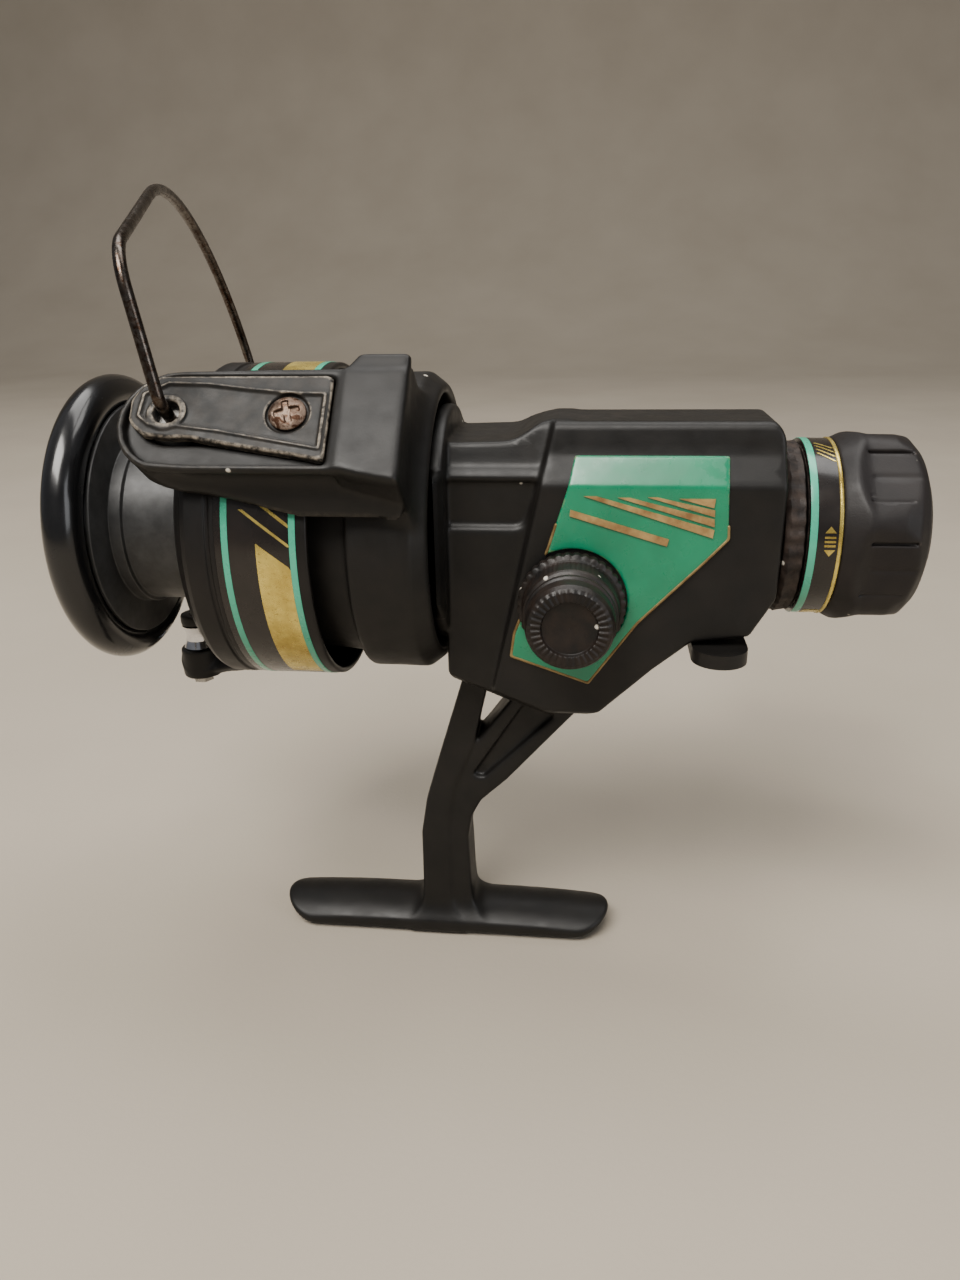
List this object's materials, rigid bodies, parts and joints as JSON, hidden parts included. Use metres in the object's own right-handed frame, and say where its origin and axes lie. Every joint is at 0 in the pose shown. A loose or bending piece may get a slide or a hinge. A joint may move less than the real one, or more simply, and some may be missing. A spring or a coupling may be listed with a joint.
{
  "type": "spinning fishing reel",
  "caption": "Rear-drag spinning reel: skirted spool on an oscillating shaft, rotor with folding bail and line roller, geared crank handle, foot for a rod seat.",
  "frame": {"origin": "on the rod's centre line, under the middle of the foot", "axes": "+X along the rod towards the butt, the way the drag knob points; +Z from the rod to the reel; +Y towards the crank handle"},
  "size_m": [0.152, 0.1068, 0.1487],
  "materials": {
    "graphite_plastic": "satin black graphite-filled nylon, slightly brown",
    "green_badge": "glossy teal-green badge",
    "gold_foil": "gold foil print",
    "steel": "machined steel",
    "corroded_steel": "plated steel, dulled and stained",
    "dark_nickel": "dark nickel plate, rubbed",
    "chrome": "polished chrome",
    "brass": "turned brass",
    "die_cast": "die-cast alloy",
    "acetal": "natural acetal",
    "worn_cover": "black cover, rubbed along its raised edges",
    "felt": "oiled felt",
    "rough_ring": "rough black ring",
    "knob_rubber": "dark brown-black rubbery plastic",
    "black_band": "glossy black printed band",
    "drum_metal": "dark grey anodised aluminium",
    "glossy_black": "glossy black",
    "worn_cap": "black plated knurled cap, worn at its edges"
  },
  "bodies": {
    "body": {"housing": "graphite_plastic", "side_cover": "graphite_plastic", "cover_screws": "steel", "side_badge": "green_badge", "badge_stripes": "gold_foil", "bearing_outer_race": "steel", "bearing_balls": "steel", "bearing_retainer": "steel", "retainer_screws": "steel", "drive_bushes": "brass", "oscillation_post": "steel", "guide_rail": "steel", "eared_washers": "steel", "friction_washers": "felt", "drag_collar": "rough_ring", "drag_spring": "steel"},
    "drive": {"drive_gear": "die_cast", "ratchet_wheel": "steel", "handle_shank": "steel", "handle_screw_cap": "worn_cap", "fold_pin": "steel"},
    "oscillator": {"oscillation_gear": "acetal"},
    "pawl": {"anti_reverse_pawl": "steel"},
    "reverse_lever": {"anti_reverse_lever": "graphite_plastic"},
    "rotor_unit": {"pinion_gear": "brass", "bearing_inner_race": "steel", "rotor": "graphite_plastic", "rotor_nut": "steel", "arm_cover": "worn_cover", "arm_cover_screw": "corroded_steel", "bail_spring": "steel", "lever_pivot_screw": "corroded_steel"},
    "bail": {"bail_cam": "die_cast", "bail_wire": "dark_nickel", "roller_lever": "graphite_plastic", "roller_screw": "dark_nickel"},
    "roller": {"line_roller": "chrome"},
    "carriage": {"crosswind_block": "brass"},
    "spool_unit": {"main_shaft": "steel", "shaft_clips": "steel", "spool": "drum_metal", "spool_lip": "glossy_black", "spool_skirt": "graphite_plastic", "skirt_band": "black_band", "button_spring": "steel"},
    "button": {"spool_button": "glossy_black"},
    "drag_rotor": {"drag_sleeve": "brass", "keyed_washers": "steel"},
    "drag_knob_unit": {"drag_knob": "knob_rubber", "drag_band": "black_band", "drag_ring": "gold_foil"},
    "drag_nut_unit": {"drag_nut": "steel"},
    "crank": {"handle_arm": "graphite_plastic", "knob_spindle": "steel"},
    "grip": {"handle_knob": "knob_rubber", "knob_cap": "glossy_black"}
  },
  "joints": [
    {"name": "handle_crank", "type": "hinge", "parent": "body", "child": "drive", "pos_m": [0.0264, 0, 0.0836], "axis": [0, 1, 0], "continuous": true},
    {"name": "rotor_spin", "type": "hinge", "parent": "body", "child": "rotor_unit", "pos_m": [0, 0, 0.0936], "axis": [1, 0, 0], "continuous": true},
    {"name": "oscillation_gear_spin", "type": "hinge", "parent": "body", "child": "oscillator", "pos_m": [0.03443, 0, 0.09507], "axis": [0, 1, 0], "continuous": true},
    {"name": "spool_oscillation", "type": "slide", "parent": "body", "child": "carriage", "axis": [1, 0, 0], "range_m": [0, 0.012]},
    {"name": "spool_drag_spin", "type": "hinge", "parent": "carriage", "child": "spool_unit", "pos_m": [0, 0, 0.0936], "axis": [1, 0, 0], "continuous": true},
    {"name": "drag_stack_spin", "type": "hinge", "parent": "body", "child": "drag_rotor", "pos_m": [0, 0, 0.0936], "axis": [1, 0, 0], "continuous": true},
    {"name": "drag_knob_turn", "type": "hinge", "parent": "body", "child": "drag_knob_unit", "pos_m": [0, 0, 0.0936], "axis": [1, 0, 0], "range_deg": [0, 270]},
    {"name": "drag_nut_travel", "type": "slide", "parent": "body", "child": "drag_nut_unit", "axis": [1, 0, 0], "range_m": [0, 0.0006], "deforming": ["drag_spring"]},
    {"name": "anti_reverse_lever_turn", "type": "hinge", "parent": "body", "child": "reverse_lever", "pos_m": [0.052, -0.002, 0.0756], "axis": [0, 0, 1], "range_deg": [0, 30]},
    {"name": "pawl_swing", "type": "hinge", "parent": "body", "child": "pawl", "pos_m": [0.0425, 0.009, 0.0986], "axis": [0, 1, 0], "range_deg": [-6.3, 0]},
    {"name": "bail_flip", "type": "hinge", "parent": "rotor_unit", "child": "bail", "pos_m": [-0.0375, 0, 0.0936], "axis": [0, -0.7431, 0.6691], "range_deg": [0, 105], "deforming": ["bail_spring"]},
    {"name": "line_roller_spin", "type": "hinge", "parent": "bail", "child": "roller", "pos_m": [-0.0566, 0.017, 0.0629], "axis": [0, 0, 1], "continuous": true},
    {"name": "spool_button_press", "type": "slide", "parent": "spool_unit", "child": "button", "axis": [1, 0, 0], "range_m": [0, 0.0012], "stiffness_N_per_m": 400, "deforming": ["button_spring"]},
    {"name": "handle_fold", "type": "hinge", "parent": "drive", "child": "crank", "pos_m": [0.0264, 0.04, 0.0836], "axis": [0, 0, 1], "range_deg": [0, 90]},
    {"name": "handle_knob_spin", "type": "hinge", "parent": "crank", "child": "grip", "pos_m": [0.0764, 0.055, 0.0836], "axis": [0, 1, 0], "continuous": true}
  ],
  "couplings": [
    {"joint": "rotor_spin", "follows": "handle_crank", "ratio": 5},
    {"joint": "oscillation_gear_spin", "follows": "handle_crank", "ratio": -0.42857},
    {"joint": "drag_stack_spin", "follows": "spool_drag_spin", "ratio": 1},
    {"joint": "drag_nut_travel", "follows": "drag_knob_turn", "m_per_rad": 0.00011937},
    {"joint": "pawl_swing", "follows": "anti_reverse_lever_turn", "ratio": -0.21}
  ]
}
